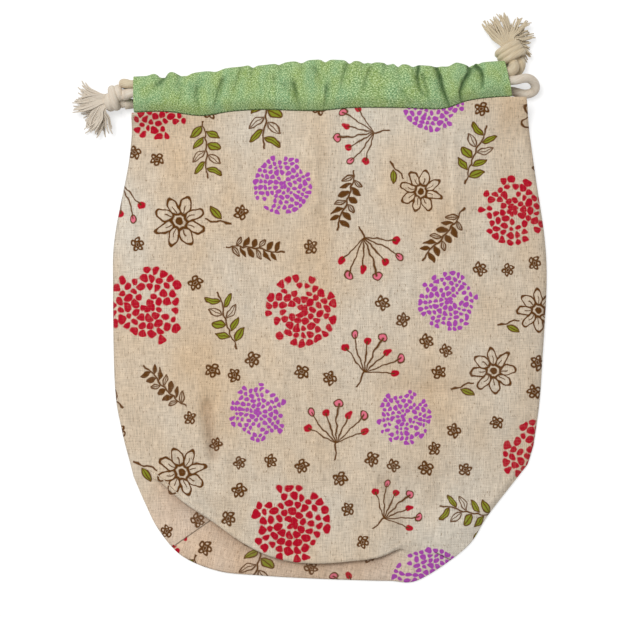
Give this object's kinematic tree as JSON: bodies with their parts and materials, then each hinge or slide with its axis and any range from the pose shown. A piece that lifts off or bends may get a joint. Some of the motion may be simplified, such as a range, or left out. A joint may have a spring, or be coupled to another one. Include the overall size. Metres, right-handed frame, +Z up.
{
  "type": "drawstring bread bag",
  "caption": "Flat-lying linen drawstring bread bag with a boxed, folded base, a gathered casing band round its mouth and knotted, tasselled drawcords.",
  "frame": {"origin": "middle of the bag's footprint on the surface it lies on, drawcords apart", "axes": "+X across the bag to the right as seen in the picture, +Y towards the mouth, +Z up, out of the front of the bag"},
  "size_m": [0.345, 0.412, 0.0228],
  "materials": {
    "printed_linen": "matt plain-weave natural linen with a scattered floral print",
    "green_linen": "matt melange green linen",
    "cotton_cord": "soft undyed cotton cord"
  },
  "bodies": {
    "bag": {"front_panel": "printed_linen", "back_panel": "printed_linen", "casing_front": "green_linen", "casing_back": "green_linen"},
    "left_cord": {"drawcord_left": "cotton_cord", "knot_left": "cotton_cord", "tassel_left": "cotton_cord"},
    "right_cord": {"drawcord_right": "cotton_cord", "knot_right": "cotton_cord", "tassel_right": "cotton_cord"}
  },
  "joints": [
    {"name": "left_cord_pull", "type": "slide", "parent": "bag", "child": "left_cord", "axis": [-0.9994, -0.0333, 0], "range_m": [0, 0.004]},
    {"name": "right_cord_pull", "type": "slide", "parent": "bag", "child": "right_cord", "axis": [0.9994, 0.0333, 0], "range_m": [0, 0.0025]}
  ]
}
